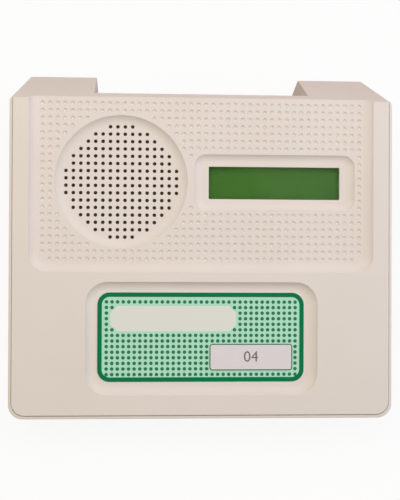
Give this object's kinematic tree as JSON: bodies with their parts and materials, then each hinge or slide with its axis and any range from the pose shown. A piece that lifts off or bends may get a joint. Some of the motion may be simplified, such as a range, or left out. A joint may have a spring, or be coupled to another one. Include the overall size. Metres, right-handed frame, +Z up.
{
  "type": "intercom master station",
  "caption": "Desk intercom master station: wedge-shaped plastic console with a grilled loudspeaker, a character display, a recessed label and a rear cable bay.",
  "frame": {"origin": "on the desk under the middle of the case, at the height of the rubber feet's undersides", "axes": "+X to the right seen from the user in front, +Y to the rear where the cables enter, +Z up"},
  "size_m": [0.1878, 0.1787, 0.0608],
  "materials": {
    "abs_case": "moulded ABS, warm off-white, fine spark texture",
    "label_film": "screen-printed polycarbonate film, green on beige",
    "badge_plastic": "matt grey-white plastic plate with a thin green line",
    "clear_lens": "clear acrylic window",
    "display_glass": "green character display glass",
    "black_steel": "black painted sheet steel",
    "backlight_diffuser": "milky diffuser with light-emitting diodes behind it",
    "circuit_board": "glass-fibre circuit board with green solder mask",
    "black_plastic": "black moulded plastic",
    "white_plastic": "white nylon",
    "blue_plastic": "blue moulded plastic",
    "zinc_steel": "zinc-plated steel",
    "tin_plate": "tinned steel",
    "black_cloth": "thin black woven cloth",
    "paper_cone": "pressed black paper pulp",
    "copper_coil": "enamelled copper wire on a paper former",
    "soft_cloth": "resin-treated cotton cloth, corrugated",
    "soft_foam": "black foam rubber",
    "ferrite": "sintered ferrite, dark grey",
    "anodised_black": "black anodised aluminium",
    "black_epoxy": "moulded black epoxy",
    "capacitor_sleeve": "shrunk dark blue sleeve",
    "core_laminations": "stacked silicon-steel sheets with a yellow bobbin",
    "crystal_can": "drawn nickel-silver can",
    "plate_plastic": "dark grey moulded plastic",
    "ribbon_jacket": "grey ribbon cable jacket",
    "wire_jacket": "red wire jacket",
    "foot_rubber": "black rubber"
  },
  "bodies": {
    "case": {"upper_shell": "abs_case", "lower_shell": "abs_case", "case_screws": "zinc_steel", "rubber_feet": "foot_rubber", "graphic_label": "label_film", "number_badge": "badge_plastic", "lcd_lens": "clear_lens", "lcd_bezel": "black_steel", "lcd_glass": "display_glass", "lcd_backlight": "backlight_diffuser", "lcd_board": "circuit_board", "lcd_header": "black_plastic", "lcd_driver_chips": "black_epoxy", "lcd_screws": "zinc_steel", "grille_cloth": "black_cloth", "speaker_gasket": "soft_foam", "speaker_clamps": "zinc_steel", "speaker_clamp_screws": "zinc_steel", "speaker_terminals": "tin_plate", "speaker_frame": "black_steel", "speaker_top_plate": "zinc_steel", "speaker_magnet": "ferrite", "speaker_yoke": "zinc_steel", "speaker_surround": "soft_foam", "speaker_spider": "soft_cloth", "main_board": "circuit_board", "main_board_screws": "zinc_steel", "microcontroller": "black_epoxy", "amplifier_chip": "black_epoxy", "crystal": "crystal_can", "capacitors": "capacitor_sleeve", "line_transformers": "core_laminations", "voltage_regulator": "black_epoxy", "heat_sink": "anodised_black", "contrast_trimmer_body": "blue_plastic", "tens_switch_body": "blue_plastic", "units_switch_body": "blue_plastic", "volume_trimmer_body": "blue_plastic", "line_jack_1": "black_plastic", "line_jack_2": "black_plastic", "power_jack": "black_plastic", "connector_plate": "plate_plastic", "ribbon_header": "black_plastic", "lcd_ribbon": "ribbon_jacket", "speaker_header": "white_plastic", "speaker_plug": "white_plastic", "speaker_wires": "wire_jacket"},
    "speaker_cone_group": {"speaker_cone": "paper_cone", "speaker_dust_cap": "paper_cone", "voice_coil": "copper_coil"},
    "contrast_rotor": {"contrast_trimmer_rotor": "white_plastic"},
    "tens_rotor": {"tens_switch_rotor": "white_plastic"},
    "units_rotor": {"units_switch_rotor": "white_plastic"},
    "volume_rotor": {"volume_trimmer_rotor": "white_plastic"}
  },
  "joints": [
    {"name": "cone_travel", "type": "slide", "parent": "case", "child": "speaker_cone_group", "axis": [0, -0.225, 0.9744], "range_m": [-0.0006, 0.0006], "stiffness_N_per_m": 800, "deforming": ["speaker_surround", "speaker_spider"]},
    {"name": "contrast_turn", "type": "hinge", "parent": "case", "child": "contrast_rotor", "pos_m": [0.052, 0.01527, 0.0149], "axis": [0, 0, 1], "range_deg": [-135, 135]},
    {"name": "tens_turn", "type": "hinge", "parent": "case", "child": "tens_rotor", "pos_m": [-0.058, 0.00527, 0.0141], "axis": [0, 0, 1], "range_deg": [0, 324]},
    {"name": "units_turn", "type": "hinge", "parent": "case", "child": "units_rotor", "pos_m": [-0.058, -0.00673, 0.0141], "axis": [0, 0, 1], "range_deg": [0, 324]},
    {"name": "volume_turn", "type": "hinge", "parent": "case", "child": "volume_rotor", "pos_m": [0.024, 0.06452, 0.0149], "axis": [0, 1, 0], "range_deg": [-135, 135]}
  ]
}
